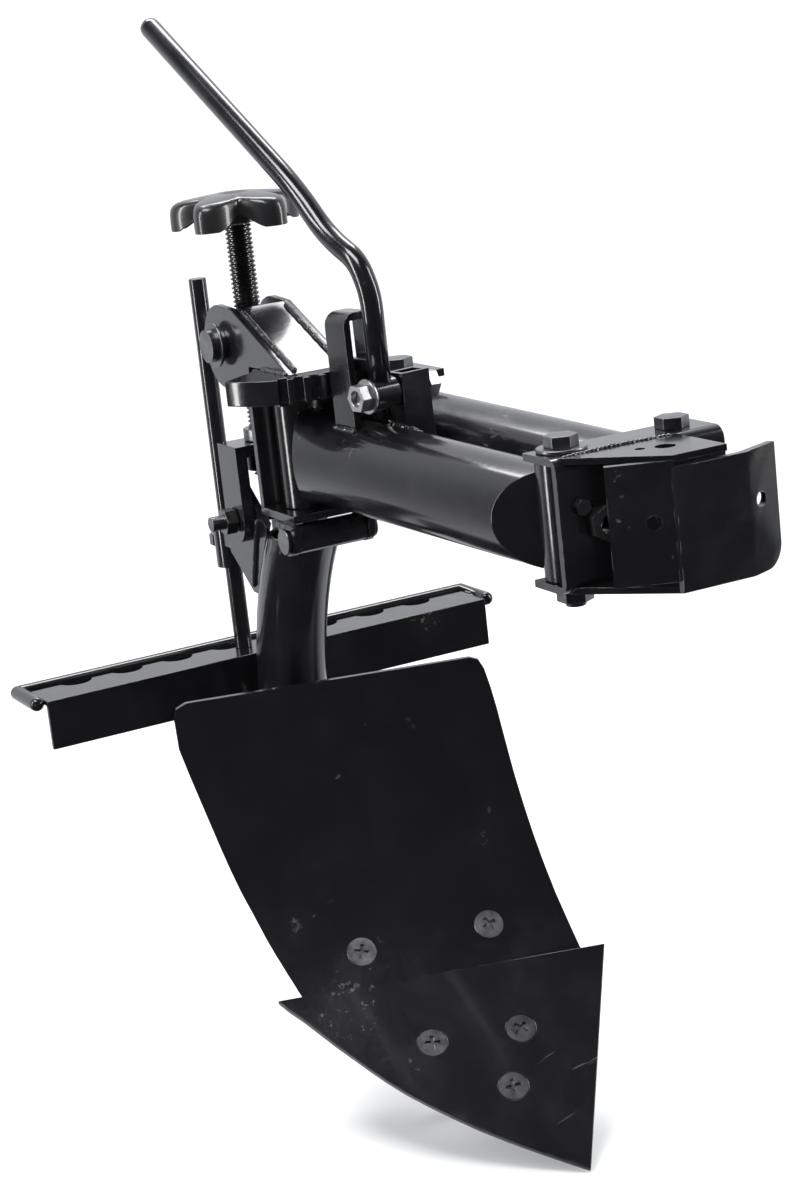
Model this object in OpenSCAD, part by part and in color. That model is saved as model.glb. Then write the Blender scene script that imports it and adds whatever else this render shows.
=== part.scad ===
// Offset walking plow: a parallelogram side-shift hitch carries a tubular
// plow standard with a screw for its pitch, a depth gauge bar, a
// right-hand mouldboard and a bolted share.
// Millimetres. +X forward (towards the tractor hitch), +Y to the plow's
// left, +Z up. Origin: hitch pin axis, midway between the clevis plates.

/* [Hitch] */
// hitch pin hole diameter
pin_hole = 12; // [10:0.5:16]
// channel plate thickness
hitch_t = 4.5; // [3:0.5:6]
// channel top face above the rear flange's underside
hitch_top = 66; // [60:1:72]
// channel bottom face
hitch_bot = -13; // [-20:1:-10]

/* [Links] */
// link length between pivots, along X
link_x = 270; // [240:1:300]
// front pivots' sideways offset at rest
link_y = 38; // [20:1:50]
// spacing of the two links
link_gap = 75; // [66:1:90]
// link tube outer diameter
link_d = 60; // [54:1:62]
// link tube wall
link_wall = 3; // [2:0.5:4]
// pivot bolt diameter
bolt_d = 12; // [10:1:14]

/* [Rear bracket] */
// sector radius
sector_r = 60; // [56:1:66]
// sector notch pitch in degrees
notch_pitch = 10; // [8:1:15]
// bracket plate thickness
brk_t = 5; // [4:0.5:6]

/* [Pitch screw] */
// adjusting screw diameter
screw_d = 18; // [14:1:20]
// screw axis, along X
screw_x = -62; // [-66:1:-58]
// knob outer radius
knob_r = 45; // [35:1:50]

/* [Standard] */
// tube outer diameter
std_d = 48; // [42:1:50]
// bend radius of the tube's centre line
std_r = 250; // [220:5:300]
// bend centre, X
std_cx = 183; // [170:1:200]
// bend centre, Z
std_cz = -170; // [-180:1:-160]

/* [Body] */
// mouldboard radius
board_r = 230; // [200:5:300]
// mouldboard sheet thickness
board_t = 4; // [3:0.5:6]
// share thickness
share_t = 5; // [4:0.5:8]
// skew of the board and share
skew = 16.5; // [10:0.5:30]

/* [Depth gauge] */
// gauge rod diameter
rod_d = 12; // [10:1:14]
// bar length
bar_len = 339; // [300:1:380]

/* [Hidden] */
$fn = 48;
e = 0.2;
fit = 0.08;
hx = 313; hy = 80; hz = 26.5;
ang = atan2(link_y, link_x);
link_len = sqrt(link_x * link_x + link_y * link_y);
dip = 16.5;
P2 = [0, link_gap];
P3 = [link_x, link_y];
P4 = [link_x, link_y + link_gap];
web_x = 292;
hub_x = -116; hub_y = -11;
HX = 24; HZ = -11;

module hexh(af, h) { cylinder(d = af / cos(30), h = h, $fn = 6); }
module rod(p, q, d) {
  v = q - p; l = norm(v);
  translate(p) rotate([0, acos(v[2] / l), atan2(v[1], v[0])]) cylinder(d = d, h = l);
}
module ycyl(x, z, y0, y1, d) { translate([x, y1, z]) rotate([90, 0, 0]) cylinder(d = d, h = y1 - y0); }
module xzplate(y0, y1) { translate([0, y1, 0]) rotate([90, 0, 0]) linear_extrude(y1 - y0) children(); }
module onlink() { rotate([0, 0, ang]) children(); }

// ---- hitch ----
module hitch_channel() color([0.05, 0.05, 0.06]) difference() {
  translate([256, 20, hitch_bot]) cube([web_x - 256, 114, hitch_top - hitch_bot]);
  translate([240, 10, hitch_bot + hitch_t]) cube([web_x - 240 - hitch_t, 140, hitch_top - hitch_bot - 2 * hitch_t]);
  // rounded outer bends
  for (s = [0, 1]) translate([web_x - 8, 17, s ? hitch_top - 8 : hitch_bot + 8]) difference() {
    translate([0, 0, s ? 0 : -9]) cube([9, 118, 9]);
    translate([0, -1, 0]) rotate([-90, 0, 0]) cylinder(r = 8, h = 120);
  }
  for (p = [P3, P4]) translate([p[0], p[1], -40]) cylinder(d = bolt_d, h = 150);
  translate([280, 46, 26]) rotate([0, 90, 0]) cylinder(d = 10, h = 30);
  translate([280, 34, 37]) rotate([0, 90, 0]) cylinder(d = 8, h = 30);
}
module clevis_plates() color([0.05, 0.05, 0.06]) difference() {
  for (z = [hitch_top - 4, hitch_bot + 0]) translate([0, 0, z]) linear_extrude(4)
    polygon([[web_x - 4, 24], [web_x - 4, 104], [339, 104], [339, 68]]);
  translate([hx, hy, -40]) cylinder(d = pin_hole, h = 150);
  translate([hx - 6, hy - 13, 40]) cylinder(d = 6, h = 60);
  // clear of the channel's rounded bends
  for (s = [0, 1]) translate([web_x - 8, 17, s ? hitch_top - 8 : hitch_bot + 8])
    rotate([-90, 0, 0]) cylinder(r = 8, h = 118);
}
module saddle_bracket() color([0.05, 0.05, 0.06]) difference() {
  union() {
    // near wing
    translate([0, 0, -5]) linear_extrude(69) polygon([[321, 34], [325, 31.5], [343, 66], [339, 68]]);
    // centre and far wing
    translate([0, 0, -11]) linear_extrude(71.5) union() {
      polygon([[341, 64], [345.5, 64], [345.5, 112], [341, 112]]);
      polygon([[341, 109], [345.5, 112], [334, 139], [330, 137]]);
    }
  }
  translate([310, 54, 30]) rotate([0, 90, 0]) cylinder(d = 8, h = 40);
  translate([310, 123, 31]) rotate([0, 90, 0]) cylinder(d = 9, h = 40);
  // rounded far lower corner
  translate([300, 139, -11]) rotate([0, 90, 0]) difference() {
    translate([-14, -14, 0]) cube([15, 15, 60]);
    translate([-14, -14, -1]) cylinder(r = 14, h = 62);
  }
}
module hitch_nuts() color([0.35, 0.35, 0.37]) {
  translate([web_x, 46, 26]) rotate([0, 90, 0]) difference() {
    hexh(19, 9);
    translate([0, 0, -1]) cylinder(d = 10, h = 12);
  }
  translate([web_x, 34, 37]) rotate([0, 90, 0]) rotate(15) hexh(9, 4);
  translate([web_x - hitch_t, 34, 37]) rotate([0, 90, 0]) cylinder(d = 8, h = hitch_t);
}
module front_bolts() color([0.45, 0.45, 0.47]) for (i = [0, 1]) {
  p = i ? P4 : P3;
  translate([p[0], p[1], 0]) {
    translate([0, 0, hitch_bot - 12]) cylinder(d = bolt_d, h = hitch_top - hitch_bot + 13);
    translate([0, 0, hitch_top + (i ? 0 : 2.5)]) hexh(18, 7);
    translate([0, 0, hitch_bot - 9]) difference() {
      hexh(19, 9); translate([0, 0, -1]) cylinder(d = bolt_d - 0.4, h = 13);
    }
  }
}
module front_washer() color([0.6, 0.6, 0.62]) translate([P3[0], P3[1], hitch_top]) difference() {
  cylinder(d = 30, h = 2.5); translate([0, 0, -1]) cylinder(d = bolt_d, h = 5);
}

// ---- links ----
module link() difference() {
  union() {
    difference() {
      translate([0, 0, -20]) link_shell();
      translate([0, 0, -20]) link_void();
    }
    translate([0, 0, 5.4]) cylinder(d = 33, h = 71.2);
    translate([P3[0], P3[1], hitch_bot + hitch_t + 0.4]) cylinder(d = 33, h = hitch_top - hitch_bot - 2 * hitch_t - 0.8);
  }
  translate([0, 0, -20]) cylinder(d = bolt_d + 2 * fit, h = 120);
  translate([P3[0], P3[1], -40]) cylinder(d = bolt_d + 2 * fit, h = 150);
}
module link_plan(g) linear_extrude(120) polygon([[6 + g, 0], [34 + g, 31], [link_len - 34 - g, 31], [link_len - 6 - g, 0],
  [link_len - 34 - g, -31], [34 + g, -31]]);
module link_rod(d) translate([0, 0, 61]) rotate([0, 90 + atan2(dip, link_len), 0]) translate([0, 0, -10]) cylinder(d = d, h = link_len + 20);
module link_shell() onlink() intersection() { link_rod(link_d); link_plan(0); }
module link_void() onlink() intersection() { link_rod(link_d - 2 * link_wall); link_plan(4.5); }
module near_link() color([0.05, 0.05, 0.06]) link();
module far_link() color([0.05, 0.05, 0.06]) difference() {
  translate([0, link_gap, 0]) link();
  // open pivot at the rear
  translate([0, link_gap, 0]) cylinder(d = bolt_d + 1.2, h = 90);
}
// strap over the near link with a window for the latch
module guide_strap() color([0.05, 0.05, 0.06]) onlink() difference() {
  translate([62, 0, 0]) rotate([90, 0, 90]) linear_extrude(22) difference() {
    union() {
      translate([-13, 50]) square([26, 78]);
      translate([-4, 50]) square([8, 87]);
      for (v = [-4, 4]) translate([v, 128]) circle(r = 9);
    }
    translate([-8, 40]) square([16, 92]);
  }
  translate([0, 0, 41]) rotate([0, 90 + atan2(dip, link_len), 0]) cylinder(d = link_d, h = 200);
}
module lever_post() color([0.05, 0.05, 0.06]) onlink() difference() {
  translate([90, 11, 50]) cube([16, 21, 47]);
  translate([93, 14, 40]) cube([10, 15, 70]);
  ycyl(98, 86, 0, 40, 10);
  translate([0, 0, 41]) rotate([0, 90 + atan2(dip, link_len), 0]) cylinder(d = link_d, h = 200);
}
module lever_bolt() color([0.6, 0.6, 0.62]) onlink() {
  ycyl(98, 86, -16, 41, 10);
  translate([98, -9.8, 86]) rotate([90, 0, 0]) difference() { cylinder(d = 22, h = 2); translate([0, 0, -1]) cylinder(d = 10, h = 4); }
  translate([98, -11.8, 86]) rotate([90, 0, 0]) difference() { hexh(16, 8); translate([0, 0, -1]) cylinder(d = 10, h = 10); }
  translate([98, 32, 86]) rotate([-90, 0, 0]) difference() { hexh(16, 8); translate([0, 0, -1]) cylinder(d = 10, h = 10); }
}
module latch_lever() color([0.06, 0.06, 0.07]) onlink() difference() {
  union() {
    ycyl(98, 86, -9, 9, 20);
    rod([98, 0, 88], [98, 0, 148], 14);
    translate([98, 0, 148]) sphere(d = 14.6);
    rod([98, 0, 148], [88, 0, 168], 14);
    translate([88, 0, 168]) sphere(d = 14.6);
    rod([88, 0, 168], [58, 0, 183], 14);
    translate([58, 0, 183]) sphere(d = 14.6);
    rod([58, 0, 183], [26, 0, 213], 14);
    translate([26, 0, 213]) sphere(d = 14.6);
    rod([26, 0, 213], [-126, 0, 317], 14);
    translate([-126, 0, 317]) sphere(d = 14.6);
    // latch arm and tooth
    translate([54, -2.4, 99]) cube([44, 4.8, 8]);
  }
  ycyl(98, 86, -20, 20, 10 + 2 * fit);
}

// ---- rear bracket ----
module rear_bracket() color([0.05, 0.05, 0.06]) difference() {
  union() {
    translate([-22, -25, 0]) cube([brk_t, 120, 82]);
    for (z = [0, 77]) translate([-18, -25, z]) cube([46, 120, 5]);
  }
  for (p = [[0, 0], P2]) translate([p[0], p[1], -10]) cylinder(d = bolt_d, h = 120);
}
module sector_plate() color([0.05, 0.05, 0.06]) difference() {
  translate([0, 0, 82]) intersection() {
    cylinder(r = sector_r, h = 16, $fn = 96);
    linear_extrude(16) polygon([[-10, -25], [0, -30], [34, -80], [120, -60], [120, 90], [52, 62], [0, 30], [-10, 25]]);
  }
  translate([0, 0, 80]) cylinder(d = bolt_d, h = 30);
  for (i = [-4:3]) rotate([0, 0, ang + i * notch_pitch]) translate([sector_r - 7.5, -2.8, 80]) cube([12, 5.6, 20]);
}
module rear_bolts() color([0.5, 0.5, 0.52]) {
  translate([0, 0, -18]) cylinder(d = bolt_d, h = 117);
  translate([0, 0, 98]) hexh(19, 5);
  translate([0, link_gap, -18]) cylinder(d = bolt_d, h = 101);
  translate([0, link_gap, 82]) hexh(19, 8);
  for (y = [0, link_gap]) translate([0, y, -10.5]) difference() {
    hexh(19, 10.5); translate([0, 0, -1]) cylinder(d = bolt_d - 0.4, h = 13);
  }
}
module ear2d() difference() {
  union() {
    translate([-62, 108]) circle(r = 28);
    polygon([[-62, 80], [-22, 80], [-22, 98], [40, 98], [-40, 134.4], [-62, 136]]);
  }
  translate([-62, 110]) circle(r = 11 + fit);
}
module ears() color([0.05, 0.05, 0.06]) for (y = [-22, 17]) xzplate(y, y + 5) ear2d();
module cross_plate() color([0.05, 0.05, 0.06]) translate([0, 17, 0]) rotate([90, 0, 0]) linear_extrude(34)
  polygon([[40, 98], [-40, 134.4], [-42, 130], [28, 98]]);
module hinge_cheeks() color([0.05, 0.05, 0.06]) for (y = [-29.5, 24.5]) difference() {
  xzplate(y, y + 5) union() {
    polygon([[10, 0], [14, -11], [34, -11], [38, 0]]);
    translate([HX, HZ]) circle(r = 10);
  }
  ycyl(HX, HZ, -40, 40, 12);
  translate([0, -50, 0]) cube([60, 100, 10]);
}
module hinge_bolt() color([0.5, 0.5, 0.52]) {
  ycyl(HX, HZ, -29.5, 29.5, 12);
  ycyl(HX, HZ, -32.5, -29.5, 17);
  ycyl(HX, HZ, 29.5, 32.5, 17);
}

// ---- pitch screw ----
module trunnion() color([0.5, 0.5, 0.52]) difference() {
  union() {
    ycyl(screw_x, 110, -33, 33, 22);
    ycyl(screw_x, 110, -16.4, 16.4, 32);
  }
  translate([screw_x, 0, 80]) cylinder(d = screw_d + 2 * fit, h = 60);
  for (y = [-28, 26]) difference() { ycyl(screw_x, 110, y, y + 2, 26); ycyl(screw_x, 110, y - 1, y + 3, 20); }
}
module retaining_rings() color([0.6, 0.6, 0.62]) for (y = [-28, 26]) difference() {
  ycyl(screw_x, 110, y, y + 2, 30);
  ycyl(screw_x, 110, y - 1, y + 3, 20);
}
module yoke() color([0.05, 0.05, 0.06]) difference() {
  union() {
    translate([screw_x - 15, -28, -10]) cube([30, 56, 52]);
    ycyl(screw_x, -10, -28, 28, 30);
  }
  translate([screw_x - 20, -20, -40]) cube([40, 40, 74]);
  ycyl(screw_x, -9, -40, 40, 12.6);
  translate([screw_x, 0, 20]) cylinder(d = screw_d + 2 * fit, h = 40);
}
// collar and nut fixed to the screw below and above the yoke's bridge
module yoke_collar() color([0.5, 0.5, 0.52]) translate([screw_x, 0, 0]) {
  translate([0, 0, 22]) difference() { cylinder(d = 26, h = 11.7); translate([0, 0, -1]) cylinder(d = screw_d, h = 14); }
  translate([0, 0, 42.3]) difference() { cylinder(d = 26, h = 8); translate([0, 0, -1]) cylinder(d = screw_d, h = 10); }
}
module adjusting_screw() color([0.5, 0.5, 0.52]) translate([screw_x, 0, 18]) cylinder(d = screw_d, h = 172);
module star2d(k) union() {
  circle(r = knob_r - 19 - k);
  for (i = [0:4]) rotate(i * 72 + 18) translate([knob_r - 14, 0]) circle(r = 14 - k);
}
module star_knob() color([0.04, 0.04, 0.05]) translate([screw_x, 0, 186]) difference() {
  union() {
    difference() {
      linear_extrude(22) star2d(0);
      translate([0, 0, -1]) linear_extrude(20) star2d(2.5);
    }
    cylinder(d = 30, h = 20);
  }
  translate([0, 0, -5]) cylinder(d = screw_d, h = 9);
}

// ---- plow standard ----
module arc_tube(d) intersection() {
  translate([std_cx, 0, std_cz]) rotate([90, 0, 0]) rotate_extrude($fn = 96) translate([std_r, 0]) circle(d = d, $fn = 40);
  translate([-150, -60, -332]) cube([250, 120, 316]);
}
module standard_tube() color([0.05, 0.05, 0.06]) difference() {
  arc_tube(std_d);
  arc_tube2(std_d - 6);
  ycyl(HX, HZ, -30, 30, 19);
}
module arc_tube2(d) translate([std_cx, 0, std_cz]) rotate([90, 0, 0]) rotate_extrude($fn = 96) translate([std_r, 0]) circle(d = d, $fn = 40);
module hinge_sleeve() color([0.05, 0.05, 0.06]) difference() {
  ycyl(HX, HZ, -24.2, 24.2, 19);
  ycyl(HX, HZ, -30, 30, 12 + 2 * fit);
}
module gussets() color([0.05, 0.05, 0.06]) difference() {
  for (y = [-19, 14]) xzplate(y, y + 5)
    polygon([[-98, 15], [-66, 15], [-32, -12], [-52, -62], [-66, -62], [-98, -38]]);
  translate([0, 0, 0]) arc_tube2(std_d);
  ycyl(screw_x, -9, -50, 50, 10);
}
module yoke_bolt() color([0.6, 0.6, 0.62]) {
  ycyl(screw_x, -9, -46, 32, 10);
  translate([screw_x, 29, -9]) rotate([-90, 0, 0]) difference() { hexh(16, 7); translate([0, 0, -1]) cylinder(d = 10, h = 9); }
  translate([screw_x, -29, -9]) rotate([90, 0, 0]) difference() { hexh(16, 8); translate([0, 0, -1]) cylinder(d = 10, h = 10); }
}
module rod_clamp() color([0.05, 0.05, 0.06]) difference() {
  union() {
    translate([hub_x, hub_y, -52]) cylinder(d = 22, h = 32);
    translate([hub_x + 6, -19, -36]) cube([12, 5, 14]);
  }
  translate([hub_x, hub_y, -60]) cylinder(d = rod_d + 2 * fit, h = 60);
  translate([hub_x - 28, hub_y, -36]) rotate([0, 90, 0]) cylinder(d = 8, h = 28);
}
module clamp_screw() color([0.6, 0.6, 0.62]) {
  translate([hub_x - 20, hub_y, -36]) rotate([0, 90, 0]) cylinder(d = 8, h = 13.8);
  translate([hub_x - 22, hub_y, -36]) rotate([0, 90, 0]) hexh(13, 6);
}

// ---- plow body ----
// board and share directions: w across, s down the share's face
module skewed() rotate([0, 0, -skew]) children();
module board_cyl(r) skewed() translate([215, -300, -160]) rotate([-90, 0, 0]) cylinder(r = r, h = 600, $fn = 96);
module outline(x0, x1) skewed() translate([x0, 0, 0]) rotate([90, 0, 90]) linear_extrude(x1 - x0) children();
module board2d() polygon([[-97, -119.5], [-104, -123], [-105.9, -130], [-105.2, -152], [-100.8, -170], [-96.6, -186],
  [-92.1, -203], [-87.7, -219.5], [-83.1, -236], [-78.1, -251.8], [-72.3, -267], [-66.5, -282.6], [-62.2, -292.6],
  [-57.5, -302.6], [-50.5, -317], [-44, -330], [147, -330], [141.6, -315.2], [138, -300], [134.3, -284.5],
  [130.4, -265], [126.9, -245.7], [123.9, -227], [121.1, -208.9], [117.6, -183], [114, -158], [111, -142],
  [107.5, -128], [104, -121], [98, -118.5]]);
// frame on the share's face: X across, Y down the face, Z out of the face
module share_frame() skewed() translate([48, 0, -315.5]) rotate([0, 0, 90]) rotate([0, 0, 0])
  multmatrix([[1, 0, 0, 0], [0, -0.7646, 0.6446, 0], [0, -0.6446, -0.7646, 0], [0, 0, 0, 1]]) children();
module mouldboard() color([0.05, 0.05, 0.06]) difference() {
  intersection() {
    difference() { board_cyl(board_r + board_t); board_cyl(board_r); }
    outline(-60, 110) board2d();
  }
  share_frame() translate([-200, 0, -40]) cube([400, 200, 80]);
  board_holes();
}
board_pts = [[-5, -298, 31.2], [84, -295, 28.8]];
// frames on the board's face at its two screws, Z out of the face
module on_board() for (p = board_pts) skewed() translate([p[2], p[0], p[1]]) rotate([0, 53.1, 0]) children();
module board_holes() on_board() {
  translate([0, 0, -20]) cylinder(d = 10, h = 30);
  translate([0, 0, -2.5]) cylinder(d = 20, h = 10);
}
module share2d() polygon([[-67, 0], [-61, 8], [-52.2, 18], [-44.2, 28.2], [-36, 38.6], [-27.1, 49.2],
  [-18, 59.9], [-8.7, 70.4], [2, 81.4], [14.9, 92.9], [28.7, 104.3], [43, 115.6], [59.5, 127.2], [79.5, 140.2],
  [97, 151], [107, 157], [158.5, 0]]);
module share() color([0.06, 0.06, 0.065]) difference() {
  share_frame() translate([0, 0, 0]) linear_extrude(share_t) share2d();
  share_holes();
}
module share_holes() share_frame() for (p = share_pts) {
  translate([p[0], p[1], -1]) cylinder(d = 10, h = 20);
  translate([p[0], p[1], -5]) cylinder(d = 20, h = 7.5);
}
share_pts = [[27, 50], [87, 51], [72, 91]];
module share_screws() color([0.5, 0.5, 0.52]) share_frame() for (p = share_pts) translate([p[0], p[1], 0]) {
  cylinder(d = 20, h = 2.5);
  translate([0, 0, 1]) cylinder(d = 10, h = share_t + 15);
  translate([0, 0, share_t + 6]) difference() { hexh(16, 8); translate([0, 0, -1]) cylinder(d = 9.8, h = 10); }
}
module board_screws() color([0.5, 0.5, 0.52]) on_board() {
  translate([0, 0, -2.5]) cylinder(d = 20, h = 2.7);
  translate([0, 0, -20]) cylinder(d = 10, h = 19);
  translate([0, 0, -18]) difference() { hexh(16, 7); translate([0, 0, -1]) cylinder(d = 9.8, h = 9); }
}
module frog() color([0.05, 0.05, 0.06]) difference() {
  union() {
    intersection() {
      difference() { board_cyl(board_r + board_t + 6); board_cyl(board_r + board_t); }
      outline(-60, 80) polygon([[-40, -215], [70, -215], [118, -280], [118, -330], [-40, -330]]);
    }
    share_frame() translate([0, 0, share_t]) linear_extrude(6)
      polygon([[-50, 0.4], [116, 0.4], [116, 108], [40, 108], [0, 72], [-44, 20]]);
  }
  share_holes();
  board_holes();
}
module frog_ribs() color([0.05, 0.05, 0.06]) difference() {
  for (y = [-30, 24]) xzplate(y, y + 6)
    polygon([[-62, -190], [-20, -190], [60, -300], [84, -352], [50, -352], [-30, -330], [-50, -290]]);
  board_cyl(board_r + board_t + 6);
  share_frame() translate([-200, -30, -60]) cube([400, 260, 60 + share_t + 6]);
}
module landside() color([0.05, 0.05, 0.06]) difference() {
  union() {
    xzplate(86, 92) polygon([[-40, -372], [10, -352], [40, -300], [126, -300], [126, -384], [110, -392], [-40, -392]]);
    xzplate(30, 86.1) polygon([[24, -352], [34, -352], [34, -364], [24, -364]]);
  }
  share_frame() translate([-200, -60, -60]) cube([400, 300, 60 + share_t + 6]);
  board_cyl(board_r + board_t + 6);
}

// ---- depth gauge ----
module gauge_rod() color([0.5, 0.5, 0.52]) difference() {
  translate([hub_x, hub_y, -112]) cylinder(d = rod_d, h = 261);
}
module gauge_bar() color([0.05, 0.05, 0.06]) difference() {
  union() {
    translate([-97, -167, -146]) cube([4, bar_len, 34]);
    translate([-128, -167, -116]) cube([34, bar_len, 4]);
  }
  for (i = [0:7]) translate([-130, -133 + 38 * i, -125]) cylinder(r = 11, h = 30);
}
module guard_loop() color([0.05, 0.05, 0.06]) {
  rod([-139, -172, -114], [-139, 177, -114], 10);
  for (y = [-172, 177]) {
    translate([-139, y, -114]) sphere(d = 10);
    rod([-139, y, -114], [-101, y, -114], 10);
    translate([-101, y, -114]) sphere(d = 10);
  }
}

translate([-hx, -hy, -hz]) {
  hitch_channel();
  clevis_plates();
  saddle_bracket();
  hitch_nuts();
  front_bolts();
  front_washer();
  near_link();
  far_link();
  guide_strap();
  lever_post();
  lever_bolt();
  latch_lever();
  rear_bracket();
  sector_plate();
  rear_bolts();
  ears();
  cross_plate();
  hinge_cheeks();
  hinge_bolt();
  trunnion();
  retaining_rings();
  yoke();
  yoke_collar();
  adjusting_screw();
  star_knob();
  standard_tube();
  hinge_sleeve();
  gussets();
  yoke_bolt();
  rod_clamp();
  clamp_screw();
  frog();
  frog_ribs();
  mouldboard();
  share();
  board_screws();
  share_screws();
  landside();
  gauge_rod();
  gauge_bar();
  guard_loop();
}
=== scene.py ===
import math
import bpy, bmesh
from mathutils import Vector, Matrix


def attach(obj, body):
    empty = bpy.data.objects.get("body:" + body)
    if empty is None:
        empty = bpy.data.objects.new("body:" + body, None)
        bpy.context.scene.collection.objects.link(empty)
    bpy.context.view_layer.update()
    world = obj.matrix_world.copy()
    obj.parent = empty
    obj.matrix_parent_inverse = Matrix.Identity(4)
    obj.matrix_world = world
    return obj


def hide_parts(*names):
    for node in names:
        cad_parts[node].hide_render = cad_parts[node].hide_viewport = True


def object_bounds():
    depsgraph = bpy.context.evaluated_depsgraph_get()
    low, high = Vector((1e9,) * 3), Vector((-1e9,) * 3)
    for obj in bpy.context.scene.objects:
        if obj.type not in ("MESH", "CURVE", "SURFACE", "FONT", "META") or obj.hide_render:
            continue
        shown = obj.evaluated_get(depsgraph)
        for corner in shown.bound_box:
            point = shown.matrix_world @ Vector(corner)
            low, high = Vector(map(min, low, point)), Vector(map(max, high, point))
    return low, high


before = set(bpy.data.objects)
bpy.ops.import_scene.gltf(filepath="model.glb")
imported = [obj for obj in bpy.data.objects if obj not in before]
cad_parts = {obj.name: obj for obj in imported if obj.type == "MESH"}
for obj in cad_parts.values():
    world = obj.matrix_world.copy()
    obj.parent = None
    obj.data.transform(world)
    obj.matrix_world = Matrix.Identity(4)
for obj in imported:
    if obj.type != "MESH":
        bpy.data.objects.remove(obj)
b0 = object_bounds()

HX, HY, HZ = 313.0, 80.0, 26.5
def P(x, y, z):
    return Vector(((x - HX) / 1000, (y - HY) / 1000, (z - HZ) / 1000))
ANG = math.atan2(38, 270)
def L(u, v, z):
    return P(u * math.cos(ANG) - v * math.sin(ANG), u * math.sin(ANG) + v * math.cos(ANG), z)
SK = math.radians(16.5)
E1 = Vector((math.sin(SK), math.cos(SK), 0))
E2 = Vector((math.cos(SK), -math.sin(SK), 0))
def shp(w, s, n=0.0):
    """point on the share's face: w across, s down, n out of the face, mm"""
    p = E2 * 48 + Vector((0, 0, -315.5)) + E1 * w + Vector((E2.x * 0.7646, E2.y * 0.7646, -0.6446)) * s + Vector((E2.x * 0.6446, E2.y * 0.6446, 0.7646)) * n
    return P(*p)
SHN = Vector((E2.x * 0.6446, E2.y * 0.6446, 0.7646))

# ------------------------------------------------------------ materials
def new_mat(name):
    m = bpy.data.materials.new(name); m.use_nodes = True
    nt = m.node_tree; nt.nodes.clear()
    out = nt.nodes.new("ShaderNodeOutputMaterial"); bs = nt.nodes.new("ShaderNodeBsdfPrincipled")
    nt.links.new(bs.outputs[0], out.inputs[0])
    return m, nt, bs
def N(nt, kind, **kw):
    n = nt.nodes.new(kind)
    for k, v in kw.items():
        setattr(n, k, v)
    return n
def ramp(nt, src, stops):
    r = N(nt, "ShaderNodeValToRGB"); nt.links.new(src, r.inputs[0])
    el = r.color_ramp.elements
    el[0].position, el[0].color = stops[0][0], (stops[0][1],) * 3 + (1,)
    el[1].position, el[1].color = stops[1][0], (stops[1][1],) * 3 + (1,)
    for p, c in stops[2:]:
        e = el.new(p); e.color = (c,) * 3 + (1,)
    return r.outputs[0]
def noise(nt, vec, scale, detail=4, rough=0.55, dist=0.0):
    n = N(nt, "ShaderNodeTexNoise"); nt.links.new(vec, n.inputs["Vector"])
    n.inputs["Scale"].default_value = scale; n.inputs["Detail"].default_value = detail
    n.inputs["Roughness"].default_value = rough; n.inputs["Distortion"].default_value = dist
    return n.outputs["Fac"]
def math_n(nt, op, a, b):
    n = N(nt, "ShaderNodeMath", operation=op, use_clamp=True)
    for i, v in enumerate((a, b)):
        if isinstance(v, (int, float)): n.inputs[i].default_value = v
        else: nt.links.new(v, n.inputs[i])
    return n.outputs[0]
def mixc(nt, fac, a, b):
    n = N(nt, "ShaderNodeMix", data_type="RGBA")
    nt.links.new(fac, n.inputs[0])
    for i, v in ((6, a), (7, b)):
        if isinstance(v, tuple): n.inputs[i].default_value = v
        else: nt.links.new(v, n.inputs[i])
    return n.outputs[2]
def mixf(nt, fac, a, b):
    n = N(nt, "ShaderNodeMix", data_type="FLOAT")
    nt.links.new(fac, n.inputs[0])
    for i, v in ((2, a), (3, b)):
        if isinstance(v, (int, float)): n.inputs[i].default_value = v
        else: nt.links.new(v, n.inputs[i])
    return n.outputs[0]
def edge_mask(nt, radius):
    bev = N(nt, "ShaderNodeBevel", samples=4); bev.inputs["Radius"].default_value = radius
    geo = N(nt, "ShaderNodeNewGeometry")
    d = N(nt, "ShaderNodeVectorMath", operation="DOT_PRODUCT")
    nt.links.new(bev.outputs[0], d.inputs[0]); nt.links.new(geo.outputs["Normal"], d.inputs[1])
    return ramp(nt, d.outputs["Value"], [(0.80, 1.0), (0.97, 0.0)])

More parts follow.
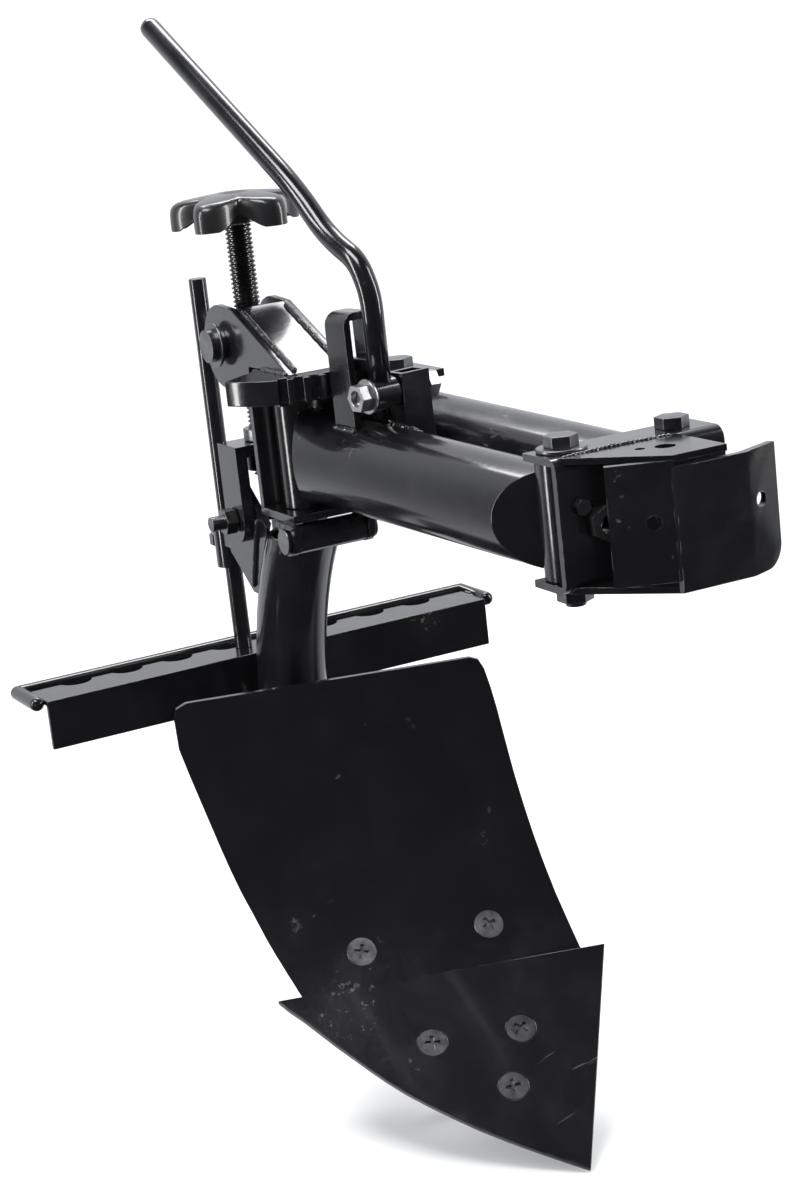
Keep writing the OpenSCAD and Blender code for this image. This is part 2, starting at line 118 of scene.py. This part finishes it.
def paint(name, base=(0.005, 0.005, 0.006), rough=0.18, wear=0.5, dust=0.12, peel=0.06):
    m, nt, bs = new_mat(name)
    tc = N(nt, "ShaderNodeTexCoord").outputs["Object"]
    big = noise(nt, tc, 14, 5, 0.6)
    fine = noise(nt, tc, 160, 6, 0.65)
    vor = N(nt, "ShaderNodeTexVoronoi"); nt.links.new(tc, vor.inputs["Vector"]); vor.inputs["Scale"].default_value = 95
    # chips where a coarse and a fine noise agree
    chip = math_n(nt, "MULTIPLY", ramp(nt, big, [(0.60, 0.0), (0.68, 1.0)]), ramp(nt, fine, [(0.60, 0.0), (0.64, 1.0)]))
    edge = math_n(nt, "MULTIPLY", edge_mask(nt, 0.0009), ramp(nt, noise(nt, tc, 70, 5, 0.6), [(0.50, 0.0), (0.60, 1.0)]))
    worn = math_n(nt, "MULTIPLY", math_n(nt, "MAXIMUM", math_n(nt, "MULTIPLY", chip, 0.6), edge), wear)
    # long thin scratches
    mp = N(nt, "ShaderNodeMapping"); nt.links.new(tc, mp.inputs["Vector"])
    mp.inputs["Rotation"].default_value = (0.5, 0.9, 0.7); mp.inputs["Scale"].default_value = (260, 9, 60)
    scr = ramp(nt, noise(nt, mp.outputs[0], 1.0, 3, 0.5), [(0.70, 0.0), (0.74, 1.0)])
    scr = math_n(nt, "MULTIPLY", scr, ramp(nt, noise(nt, tc, 9, 2, 0.5), [(0.52, 0.0), (0.62, 1.0)]))
    dustm = math_n(nt, "MULTIPLY", ramp(nt, noise(nt, tc, 28, 6, 0.7), [(0.45, 0.0), (0.75, 1.0)]), dust)
    col = mixc(nt, dustm, base + (1,), (0.035, 0.035, 0.038, 1))
    col = mixc(nt, math_n(nt, "MULTIPLY", scr, 0.35), col, (0.16, 0.16, 0.17, 1))
    col = mixc(nt, worn, col, (0.28, 0.27, 0.26, 1))
    nt.links.new(col, bs.inputs["Base Color"])
    nt.links.new(math_n(nt, "MULTIPLY", worn, 0.7), bs.inputs["Metallic"])
    rg = mixf(nt, ramp(nt, big, [(0.3, 0.0), (0.7, 1.0)]), rough * 0.8, rough * 1.35)
    rg = mixf(nt, dustm, rg, 0.55); rg = mixf(nt, worn, rg, 0.45)
    nt.links.new(rg, bs.inputs["Roughness"])
    bs.inputs["IOR"].default_value = 1.5
    bs.inputs["Coat Weight"].default_value = 0.5; bs.inputs["Coat Roughness"].default_value = 0.08
    bp = N(nt, "ShaderNodeBump"); bp.inputs["Strength"].default_value = peel; bp.inputs["Distance"].default_value = 0.0012
    hgt = math_n(nt, "SUBTRACT", noise(nt, tc, 240, 2, 0.5), math_n(nt, "MULTIPLY", worn, 0.5))
    nt.links.new(hgt, bp.inputs["Height"]); nt.links.new(bp.outputs[0], bs.inputs["Normal"])
    return m
def metal(name, col, rough=0.32, dirt=0.4, tint=(0.10, 0.09, 0.08), aniso=0.0):
    m, nt, bs = new_mat(name)
    tc = N(nt, "ShaderNodeTexCoord").outputs["Object"]
    d = math_n(nt, "MULTIPLY", ramp(nt, noise(nt, tc, 60, 6, 0.65), [(0.42, 0.0), (0.70, 1.0)]), dirt)
    nt.links.new(mixc(nt, d, col + (1,), tint + (1,)), bs.inputs["Base Color"])
    bs.inputs["Metallic"].default_value = 1.0
    nt.links.new(mixf(nt, noise(nt, tc, 180, 4, 0.6), rough * 0.7, rough * 1.5), bs.inputs["Roughness"])
    bp = N(nt, "ShaderNodeBump"); bp.inputs["Strength"].default_value = 0.08; bp.inputs["Distance"].default_value = 0.0006
    nt.links.new(noise(nt, tc, 400, 3, 0.6), bp.inputs["Height"]); nt.links.new(bp.outputs[0], bs.inputs["Normal"])
    return m

M_PAINT = paint("black_gloss_paint")
M_BOARD = paint("board_paint", base=(0.005, 0.005, 0.0065), rough=0.20, wear=0.4, dust=0.08, peel=0.10)
M_SHARE = paint("share_paint", base=(0.006, 0.006, 0.0075), rough=0.18, wear=0.6, dust=0.10, peel=0.10)
M_KNOB = paint("knob_paint", base=(0.009, 0.009, 0.010), rough=0.30, wear=0.3, dust=0.2)
M_WELD = paint("weld_paint", base=(0.011, 0.011, 0.012), rough=0.24, wear=0.25, dust=0.3, peel=0.2)
M_DARK = metal("blackened_bolt", (0.22, 0.22, 0.23), 0.28, 0.5, (0.04, 0.04, 0.04))
M_ZINC = metal("zinc_fastener", (0.55, 0.55, 0.56), 0.30, 0.45, (0.16, 0.15, 0.14))
M_HEAD = metal("worn_screw_head", (0.36, 0.36, 0.37), 0.34, 0.75, (0.04, 0.04, 0.04))
M_STEEL = metal("oiled_steel", (0.12, 0.12, 0.125), 0.24, 0.5, (0.03, 0.03, 0.03))

node_mat = {}
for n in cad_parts:
    node_mat[n] = M_PAINT
for n in ("mouldboard",): node_mat[n] = M_BOARD
node_mat["share"] = M_SHARE
node_mat["star_knob"] = M_KNOB
for n in ("front_bolts", "rear_bolts", "hinge_bolt", "share_screws", "board_screws", "hitch_nuts", "yoke_collar", "yoke_bolt", "clamp_screw", "retaining_rings", "front_washer", "trunnion"): node_mat[n] = M_DARK
node_mat["lever_bolt"] = M_ZINC

BEV = {"share": 0.0014, "mouldboard": 0.0011, "saddle_bracket": 0.0012, "hitch_channel": 0.0010, "standard_tube": 0.0, "guard_loop": 0.0, "gauge_rod": 0.0006, "near_link": 0.0006, "far_link": 0.0006}
for n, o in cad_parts.items():
    o.data.materials.clear(); o.data.materials.append(node_mat[n])
    w = o.modifiers.new("weld", "WELD"); w.merge_threshold = 0.000012
    d = o.modifiers.new("flat", "DECIMATE"); d.decimate_type = "DISSOLVE"; d.angle_limit = math.radians(1.0)
    bw = BEV.get(n, 0.0007)
    if bw > 0:
        b = o.modifiers.new("edges", "BEVEL"); b.width = bw; b.segments = 2; b.limit_method = "ANGLE"
        b.angle_limit = math.radians(40); b.use_clamp_overlap = True
    o.data.polygons.foreach_set("use_smooth", [True] * len(o.data.polygons))
    try:
        o.data.set_sharp_from_angle(angle=math.radians(32))
    except Exception:
        pass
    wn = o.modifiers.new("normals", "WEIGHTED_NORMAL"); wn.keep_sharp = True; wn.mode = "FACE_AREA"; wn.weight = 60

# ------------------------------------------------------------ mesh helpers
def mesh_obj(name, verts, faces, mat, smooth=True, sharp=35):
    me = bpy.data.meshes.new(name); me.from_pydata([tuple(v) for v in verts], [], faces); me.validate()
    bm = bmesh.new(); bm.from_mesh(me); bmesh.ops.recalc_face_normals(bm, faces=bm.faces); bm.to_mesh(me); bm.free()
    me.polygons.foreach_set("use_smooth", [smooth] * len(me.polygons))
    if smooth and sharp: me.set_sharp_from_angle(angle=math.radians(sharp))
    me.materials.append(mat)
    o = bpy.data.objects.new(name, me); bpy.context.scene.collection.objects.link(o)
    return o
def sweep(name, pts, rad, mat, seg=20, cap=True, sharp=0):
    """tube along pts; rad(i, k) or a number, metres"""
    n = len(pts); verts = []; faces = []
    up = Vector((0.13, 0.21, 0.97)); prev = None
    for i, p in enumerate(pts):
        t = (pts[min(i + 1, n - 1)] - pts[max(i - 1, 0)]).normalized()
        a = prev if prev is not None else (up.cross(t) if abs(up.dot(t)) < 0.95 else Vector((1, 0, 0)).cross(t))
        a = (a - t * a.dot(t)).normalized(); prev = a; b = t.cross(a)
        for k in range(seg):
            th = 2 * math.pi * k / seg
            r = rad(i, k) if callable(rad) else rad
            verts.append(p + (a * math.cos(th) + b * math.sin(th)) * r)
    for i in range(n - 1):
        for k in range(seg):
            k2 = (k + 1) % seg
            faces.append((i * seg + k, i * seg + k2, (i + 1) * seg + k2, (i + 1) * seg + k))
    if cap:
        faces.append(tuple(range(seg))[::-1]); faces.append(tuple((n - 1) * seg + k for k in range(seg)))
    return mesh_obj(name, verts, faces, mat, True, sharp)
def fillet_path(pts, rad, steps=8):
    out = [pts[0]]
    for i in range(1, len(pts) - 1):
        a, b, c = pts[i - 1], pts[i], pts[i + 1]
        r = min(rad, (b - a).length * 0.45, (c - b).length * 0.45)
        p0 = b + (a - b).normalized() * r; p1 = b + (c - b).normalized() * r
        for s in range(steps + 1):
            t = s / steps
            out.append(p0 * (1 - t) ** 2 + b * 2 * t * (1 - t) + p1 * t * t)
    out.append(pts[-1]); return out
bead_no = [0]
def bead(points, r_mm, body, seed=0.0):
    """weld bead along points (metres) with ripples"""
    dense = []
    for a, b in zip(points[:-1], points[1:]):
        n = max(2, int((b - a).length / 0.0009))
        for i in range(n): dense.append(a.lerp(b, i / n))
    dense.append(points[-1]); n = len(dense)
    def rad(i, k):
        s = i * 0.9
        e = min(1.0, (i + 0.8) / 3.0, (n - i - 0.2) / 3.0)
        return r_mm / 1000 * max(0.05, e) * (1 + 0.10 * math.sin(s * 2.1 + seed) + 0.07 * math.sin(s * 0.53 + 1.3 * seed) + 0.05 * math.sin(s * 1.3 + k * 0.9))
    bead_no[0] += 1
    o = sweep("weld_bead_%02d" % bead_no[0], dense, rad, M_WELD, seg=8)
    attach(o, body); return o

# ------------------------------------------------------------ adjusting screw with thread
def thread(name, c, z0, z1, r, pitch, depth, mat, plain_lo=0.0, plain_hi=0.0):
    seg = 36; verts = []; faces = []
    prof = [(0.0, -depth), (0.22, -depth), (0.5, 0.0), (0.72, 0.0)]
    turns = (z1 - z0 - plain_lo - plain_hi) / pitch; nrow = int(turns * seg)
    rows = []
    def col(k, zc):
        th = 2 * math.pi * k / seg; out = []
        for f, dr in prof:
            z = min(max(zc + f * pitch, z0 + plain_lo), z1 - plain_hi)
            out.append((c[0] + (r + dr) * math.cos(th), c[1] + (r + dr) * math.sin(th), z))
        return out
    start = -seg
    for i in range(start, nrow + 1):
        zc = z0 + plain_lo + i * pitch / seg
        rows.append(col(i, zc))
    npf = len(prof)
    for rr in rows: verts += [P(*q) for q in rr]
    m = len(rows)
    for i in range(m - 1):
        for j in range(npf - 1):
            faces.append((i * npf + j, (i + 1) * npf + j, (i + 1) * npf + j + 1, i * npf + j + 1))
        if i + seg < m - 1:
            a = i * npf + npf - 1; b = (i + 1) * npf + npf - 1
            faces.append((a, b, (i + 1 + seg) * npf, (i + seg) * npf))
    me = bpy.data.meshes.new(name); me.from_pydata([tuple(v) for v in verts], [], faces)
    bm = bmesh.new(); bm.from_mesh(me)
    bmesh.ops.remove_doubles(bm, verts=bm.verts, dist=0.000004)
    bmesh.ops.dissolve_degenerate(bm, edges=bm.edges, dist=0.000003)
    loose = [v for v in bm.verts if not v.link_faces]; bmesh.ops.delete(bm, geom=loose, context="VERTS")
    be = [e for e in bm.edges if e.is_boundary]
    bmesh.ops.holes_fill(bm, edges=be, sides=0)
    bmesh.ops.recalc_face_normals(bm, faces=bm.faces); bm.to_mesh(me); bm.free()
    me.polygons.foreach_set("use_smooth", [True] * len(me.polygons)); me.set_sharp_from_angle(angle=math.radians(30))
    me.materials.append(mat)
    o = bpy.data.objects.new(name, me); bpy.context.scene.collection.objects.link(o); return o
scr = thread("screw_threaded", (-62, 0), 18.0, 187.0, 8.95, 3.0, 1.35, M_STEEL)
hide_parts("adjusting_screw"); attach(scr, "screw")

# ------------------------------------------------------------ star knob, pressed sheet
def knob():
    seg = 160; cx, cy = -62, 0; verts = []; faces = []
    def lob(th):
        ph = (th - math.radians(18)) * 5
        c = 0.5 + 0.5 * math.cos(ph)
        return c ** 0.8
    # rings: (radius as share of rim, height below the top, lobe share)
    rings = [(0.0, 1.5), (0.16, 1.5), (0.20, 0.6), (0.28, 0.2), (0.45, 0.9), (0.62, 1.2), (0.78, 1.0), (0.88, 1.2), (0.94, 2.2), (0.975, 4.0), (0.992, 7.0), (1.0, 12.0), (1.0, 22.0),
             (0.955, 22.0), (0.955, 12.0), (0.945, 7.0), (0.92, 4.8), (0.86, 3.6), (0.60, 3.6), (0.36, 3.6), (0.335, 4.0), (0.33, 20.0), (0.0, 20.0)]
    idx = []
    for f, dz in rings:
        if f == 0.0:
            verts.append(P(cx, cy, 208 - dz)); idx.append([len(verts) - 1] * seg); continue
        row = []
        for k in range(seg):
            th = 2 * math.pi * k / seg
            R = 27.0 + 17.6 * lob(th)
            w = max(0.0, min(1.0, (f - 0.36) / 0.4)); rr = (f * 45.0) * (1 - w) + f * R * w if f < 0.76 else f * R
            dd = dz
            if f <= 0.36: rr = f * 45.0
            else:
                if dz > 10: dd = 10 + (dz - 10) * (0.12 + 0.88 * lob(th))
                dd = min(22.0, dd + 3.6 * min(1.0, (f - 0.36) / 0.6) ** 2 * (0.4 + 0.6 * lob(th)))
            row.append(len(verts)); verts.append(P(cx + rr * math.cos(th), cy + rr * math.sin(th), 208 - dd))
        idx.append(row)
    for a, b in zip(idx[:-1], idx[1:]):
        for k in range(seg):
            k2 = (k + 1) % seg; q = [a[k], a[k2], b[k2], b[k]]
            u = []
            for v in q:
                if v not in u: u.append(v)
            if len(u) > 2: faces.append(tuple(u))
    o = mesh_obj("star_knob_pressed", verts, faces, M_KNOB, True, 40)
    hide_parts("star_knob"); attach(o, "screw")
knob()

# ------------------------------------------------------------ latch lever, one bent rod
def cyl(name, a, b, r, mat, seg=40, ch=0.0006, holes=0.0):
    t = (b - a).normalized(); x = t.orthogonal().normalized(); y = t.cross(x); verts = []; faces = []
    prof = [(0.0, r - ch), (ch, r), ((b - a).length - ch, r), ((b - a).length, r - ch)]
    if holes: prof = [(0.0, holes)] + prof + [((b - a).length, holes)]
    for h, rr in prof:
        for k in range(seg):
            th = 2 * math.pi * k / seg; verts.append(a + t * h + (x * math.cos(th) + y * math.sin(th)) * rr)
    n = len(prof)
    for i in range(n - 1):
        for k in range(seg):
            k2 = (k + 1) % seg; faces.append((i * seg + k, i * seg + k2, (i + 1) * seg + k2, (i + 1) * seg + k))
    if holes:
        for k in range(seg):
            k2 = (k + 1) % seg; faces.append(((n - 1) * seg + k, (n - 1) * seg + k2, k2, k))
    else:
        faces.append(tuple(range(seg))[::-1]); faces.append(tuple((n - 1) * seg + k for k in range(seg)))
    return mesh_obj(name, verts, faces, mat, True, 30)
path = fillet_path([L(98, 0, 92), L(98, 0, 148), L(88, 0, 168), L(58, 0, 183), L(26, 0, 213), L(-126, 0, 317)], 0.020, 10)
end_t = (path[-1] - path[-2]).normalized()
tip = path + [path[-1] + end_t * 0.003, path[-1] + end_t * 0.0055, path[-1] + end_t * 0.0068]
nn = len(tip)
lev = sweep("lever_rod", tip, lambda i, k: 0.007 * (1.0 if i < nn - 3 else (0.0, 0.92, 0.62, 0.25)[i - nn + 4]), M_PAINT, seg=28)
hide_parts("latch_lever"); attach(lev, "latch")
bar = cyl("lever_barrel", L(98, -9, 86), L(98, 9, 86), 0.0099, M_PAINT, 40, 0.0008, 0.00508)
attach(bar, "latch")
def boxm(name, corners_lo, corners_hi, mat, frame_fn, bev=0.0006):
    (x0, y0, z0), (x1, y1, z1) = corners_lo, corners_hi
    bm = bmesh.new(); vs = [bm.verts.new(frame_fn(x, y, z)) for x in (x0, x1) for y in (y0, y1) for z in (z0, z1)]
    for f in ((0, 1, 3, 2), (4, 6, 7, 5), (0, 4, 5, 1), (2, 3, 7, 6), (0, 2, 6, 4), (1, 5, 7, 3)): bm.faces.new([vs[i] for i in f])
    bmesh.ops.recalc_face_normals(bm, faces=bm.faces)
    if bev: bmesh.ops.bevel(bm, geom=list(bm.edges), offset=bev, segments=2, affect="EDGES", profile=0.5)
    me = bpy.data.meshes.new(name); bm.to_mesh(me); bm.free()
    me.polygons.foreach_set("use_smooth", [True] * len(me.polygons)); me.set_sharp_from_angle(angle=math.radians(50))
    me.materials.append(mat)
    o = bpy.data.objects.new(name, me); bpy.context.scene.collection.objects.link(o); return o
arm = boxm("latch_arm", (54, -2.4, 99), (97, 2.4, 107), M_PAINT, L)
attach(arm, "latch")

# ------------------------------------------------------------ countersunk cross-recess screws
def recess_head(name, c, nrm, r, mat, turn, thick=2.5):
    """flat head with a real cross recess; c on the face, nrm out of it"""
    x = nrm.orthogonal().normalized(); x = Matrix.Rotation(turn, 3, nrm) @ x; y = nrm.cross(x)
    seg = 48; verts = []; faces = []
    def pt(u, v, h): return c + x * u + y * v + nrm * h
    a = r * 0.13; l = r * 0.52; dp = 0.0016
    # cross outline, 12 points, anticlockwise
    cr = [(l, -a), (l, a), (a, a), (a, l), (-a, l), (-a, a), (-l, a), (-l, -a), (-a, -a), (-a, -l), (a, -l), (a, -a)]
    bm = bmesh.new()
    outer = [bm.verts.new(pt(r * 0.97 * math.cos(2 * math.pi * k / seg), r * 0.97 * math.sin(2 * math.pi * k / seg), 0.0)) for k in range(seg)]
    rim = [bm.verts.new(pt(r * 0.998 * math.cos(2 * math.pi * k / seg), r * 0.998 * math.sin(2 * math.pi * k / seg), -0.0004)) for k in range(seg)]
    low = [bm.verts.new(pt(r * 0.998 * math.cos(2 * math.pi * k / seg), r * 0.998 * math.sin(2 * math.pi * k / seg), -thick / 1000)) for k in range(seg)]
    top = [bm.verts.new(pt(u, v, 0.0)) for u, v in cr]
    dep = [bm.verts.new(pt(u * 0.82, v * 0.82, -dp)) for u, v in cr]
    ed = [bm.edges.new((outer[k], outer[(k + 1) % seg])) for k in range(seg)] + [bm.edges.new((top[k], top[(k + 1) % 12])) for k in range(12)]
    bmesh.ops.triangle_fill(bm, edges=ed, use_beauty=True)
    for k in range(seg):
        k2 = (k + 1) % seg
        bm.faces.new((outer[k], outer[k2], rim[k2], rim[k])); bm.faces.new((rim[k], rim[k2], low[k2], low[k]))
    for k in range(12):
        k2 = (k + 1) % 12; bm.faces.new((top[k], top[k2], dep[k2], dep[k]))
    bm.faces.new(dep); bm.faces.new(low)
    bmesh.ops.recalc_face_normals(bm, faces=bm.faces)
    me = bpy.data.meshes.new(name); bm.to_mesh(me); bm.free()
    me.polygons.foreach_set("use_smooth", [True] * len(me.polygons)); me.set_sharp_from_angle(angle=math.radians(20))
    me.materials.append(mat)
    o = bpy.data.objects.new(name, me); bpy.context.scene.collection.objects.link(o); return o
def hexnut(name, a, b, af, mat, hole):
    t = (b - a).normalized(); x = t.orthogonal().normalized(); y = t.cross(x); r = af / 2 / math.cos(math.pi / 6); h = (b - a).length; ch = 0.0009
    bm = bmesh.new(); rows = []
    for hh, kind in ((0, "i"), (0, "c"), (ch, "h"), (h - ch, "h"), (h, "c"), (h, "i")):
        row = []
        for k in range(36):
            th = 2 * math.pi * k / 36; ph = (th % (math.pi / 3)) - math.pi / 6
            rr = hole if kind == "i" else (af / 2 / math.cos(ph) if kind == "h" else af / 2 * 0.97)
            row.append(bm.verts.new(a + t * hh + (x * math.cos(th) + y * math.sin(th)) * rr))
        rows.append(row)
    rows.append(rows[0])
    for p, q in zip(rows[:-1], rows[1:]):
        for k in range(36):
            bm.faces.new((p[k], p[(k + 1) % 36], q[(k + 1) % 36], q[k]))
    bmesh.ops.recalc_face_normals(bm, faces=bm.faces)
    me = bpy.data.meshes.new(name); bm.to_mesh(me); bm.free()
    me.polygons.foreach_set("use_smooth", [True] * len(me.polygons)); me.set_sharp_from_angle(angle=math.radians(25)); me.materials.append(mat)
    o = bpy.data.objects.new(name, me); bpy.context.scene.collection.objects.link(o); return o
first = True
for i, (w, s) in enumerate(((27, 50), (87, 51), (72, 91))):
    c = shp(w, s, 0); o = recess_head("share_screw_head_%d" % i, c, SHN, 0.010, M_DARK, 0.5 + i * 0.9)
    s2 = cyl("share_screw_shank_%d" % i, c - SHN * 0.002, c - SHN * 0.0209, 0.0049, M_DARK, 24, 0.0007)
    n2 = hexnut("share_nut_%d" % i, c - SHN * 0.011, c - SHN * 0.019, 0.016, M_DARK, 0.00495)
    if first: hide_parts("share_screws"); first = False
    for q in (o, s2, n2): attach(q, "plow")
BN = (Vector((E2.x * 0.8, E2.y * 0.8, 0.6))).normalized()
first = True
for i, (w, z, d) in enumerate(((-5, -298, 31.2), (84, -295, 28.8))):
    c = P(*(E2 * d + E1 * w + Vector((0, 0, z)))); o = recess_head("board_screw_head_%d" % i, c + BN * 0.0002, BN, 0.010, M_HEAD, 0.3 + i * 0.7, 2.7)
    s2 = cyl("board_screw_shank_%d" % i, c - BN * 0.0022, c - BN * 0.0199, 0.0049, M_DARK, 24, 0.0007)
    n2 = hexnut("board_nut_%d" % i, c - BN * 0.018, c - BN * 0.011, 0.016, M_DARK, 0.00495)
    if first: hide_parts("board_screws"); first = False
    for q in (o, s2, n2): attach(q, "plow")

# ------------------------------------------------------------ weld beads
for y in (-17, 17):
    bead([P(x, y * 0.93, 134.4 - (x + 40) * 36.4 / 80 + 0.3) for x in (-36, -10, 15, 38)], 2.0, "rear", y)
for y in (-22.4, 22.4):
    bead([P(0, y, 98.4), P(38, y, 98.4)], 1.9, "rear", y + 1)
bead([P(288, 26, 65.2), P(286.5, 60, 66), P(288, 102, 65.2)], 1.7, "hitch", 2)
bead([P(288, 26, -12.2), P(288, 102, -12.2)], 1.7, "hitch", 3)
for y in (-30, 30):
    bead([P(10, y, -0.8), P(38, y, -0.8)], 2.0, "rear", y)
def tubez(u, v): return 41 - 0.0605 * u + math.sqrt(max(0.0, 30.0 ** 2 - v * v))
for v in (-13.4, 13.4):
    bead([L(u, v, tubez(u, v) + 0.4) for u in (61, 72, 85)], 2.2, "near_arm", v)
bead([L(61.6, v, tubez(61.6, v) + 0.4) for v in (-13, -6, 0, 6, 13)], 2.0, "near_arm", 5)
bead([L(u, 10.8, tubez(u, 10.8) + 0.4) for u in (89, 97, 107)], 2.2, "near_arm", 6)
bead([L(106.4, v, tubez(106.4, v) + 0.3) for v in (11, 15, 19, 23, 26)], 2.2, "near_arm", 7)
for y in (-19.3, 19.3):
    sgn = 1 if y > 0 else -1
    bead([P(x, sgn * 19.4, z) for x, z in ((-44, -8), (-52, -26), (-58, -42), (-64, -58))], 2.0, "plow", y)
for y in (-25, 25):
    bead([P(183 - 246 * math.cos(t), y * 0.93, -170 - 246 * math.sin(t)) for t in (0.12, 0.25, 0.38, 0.5)], 2.0, "plow", y)
def ring(c, ax, r, n=48, a0=0.0, a1=360.0):
    x = ax.orthogonal().normalized(); y = ax.cross(x)
    return [c + (x * math.cos(math.radians(a0 + (a1 - a0) * i / n)) + y * math.sin(math.radians(a0 + (a1 - a0) * i / n))) * r for i in range(n + 1)]

# ------------------------------------------------------------ stage
def stage_mat(name, c):
    m, nt, bs = new_mat(name)
    bs.inputs["Base Color"].default_value = (c, c, c * 1.005, 1); bs.inputs["Roughness"].default_value = 0.75
    bs.inputs["Specular IOR Level"].default_value = 0.1
    return m
M_FLOOR = stage_mat("pale_floor", 0.86)
vd = Vector((-math.cos(math.radians(26)), math.sin(math.radians(26)), 0)); sd = Vector((vd.y, -vd.x, 0))
zf = b0[0][2] - 0.0006
prof = [(-4.0, 0.0)] + [(2.2, 0.0)] + [(2.2 + 1.6 * math.sin(math.radians(a)), 1.6 - 1.6 * math.cos(math.radians(a))) for a in range(6, 91, 6)] + [(3.8, 5.0)]
verts = []; faces = []
for s in (-6, 6):
    for u, h in prof: verts.append(vd * u + sd * s + Vector((0, 0, zf + h)))
n = len(prof)
for i in range(n - 1): faces.append((i, i + 1, n + i + 1, n + i))
fl = mesh_obj("cyclorama", verts, faces, M_FLOOR, True, 0)
def area(name, loc, target, size, power, col=(1, 1, 1)):
    ld = bpy.data.lights.new(name, "AREA"); ld.shape = "RECTANGLE"; ld.size = size[0]; ld.size_y = size[1]; ld.energy = power; ld.color = col
    o = bpy.data.objects.new(name, ld); bpy.context.scene.collection.objects.link(o)
    o.location = loc; o.rotation_euler = (Vector(target) - Vector(loc)).to_track_quat("-Z", "Y").to_euler(); return o
tgt = P(40, 0, -60)
cam_dir = -vd
side = Vector((-vd.y, vd.x, 0))
area("key_top", tgt + cam_dir * 0.7 + side * 0.7 + Vector((0, 0, 2.2)), tgt, (1.5, 0.7), 40)
area("left_strip", tgt + cam_dir * 0.4 + side * 1.9 + Vector((0, 0, 0.5)), tgt, (0.28, 2.0), 26)
area("right_strip", tgt + cam_dir * 0.2 - side * 1.9 + Vector((0, 0, 0.7)), tgt, (0.30, 1.8), 24)
area("back_rim", tgt - cam_dir * 1.2 + Vector((0, 0, 1.9)), tgt, (1.6, 0.6), 30)
fl.visible_glossy = False
wd = bpy.data.worlds.new("studio"); bpy.context.scene.world = wd; wd.use_nodes = True
wt = wd.node_tree; wt.nodes.clear()
wo = wt.nodes.new("ShaderNodeOutputWorld"); wm = wt.nodes.new("ShaderNodeMixShader"); lp = wt.nodes.new("ShaderNodeLightPath")
b_soft = wt.nodes.new("ShaderNodeBackground"); b_dark = wt.nodes.new("ShaderNodeBackground")
b_soft.inputs[0].default_value = (0.97, 0.985, 1.0, 1); b_soft.inputs[1].default_value = 0.95
b_dark.inputs[0].default_value = (0.93, 0.95, 1.0, 1)
# bright sweep behind the part, dim room in front of it
wg = wt.nodes.new("ShaderNodeTexCoord"); wdot = wt.nodes.new("ShaderNodeVectorMath"); wdot.operation = "DOT_PRODUCT"
wdot.inputs[1].default_value = tuple(vd); wt.links.new(wg.outputs["Generated"], wdot.inputs[0])
wt.links.new(ramp(wt, wdot.outputs["Value"], [(0.12, 0.028), (0.45, 0.85)]), b_dark.inputs[1])
wt.links.new(lp.outputs["Is Glossy Ray"], wm.inputs[0]); wt.links.new(b_soft.outputs[0], wm.inputs[1]); wt.links.new(b_dark.outputs[0], wm.inputs[2])
wt.links.new(wm.outputs[0], wo.inputs[0])

# ------------------------------------------------------------ camera
az, el, roll = math.radians(26.0), math.radians(13.9), math.radians(-6.4)
back = Vector((math.cos(el) * math.cos(az), -math.cos(el) * math.sin(az), math.sin(el)))
C = P(151.4, -18.8, -30.4) + back * 1.6
right = (-back).cross(Vector((0, 0, 1))).normalized(); up = right.cross(-back)
r2 = right * math.cos(roll) + up * math.sin(roll); u2 = -right * math.sin(roll) + up * math.cos(roll)
cd = bpy.data.cameras.new("photo_camera"); cam = bpy.data.objects.new("photo_camera", cd); bpy.context.scene.collection.objects.link(cam)
cam.matrix_world = Matrix(((r2.x, u2.x, back.x, C.x), (r2.y, u2.y, back.y, C.y), (r2.z, u2.z, back.z, C.z), (0, 0, 0, 1)))
cd.sensor_fit = "HORIZONTAL"; cd.sensor_width = 36.0; cd.lens = 2635 / 792 * 36.0; cd.clip_end = 50; cd.dof.use_dof = False
bpy.context.scene.camera = cam
bpy.context.scene.view_settings.view_transform = "Standard"
bpy.context.scene.view_settings.exposure = 0.0
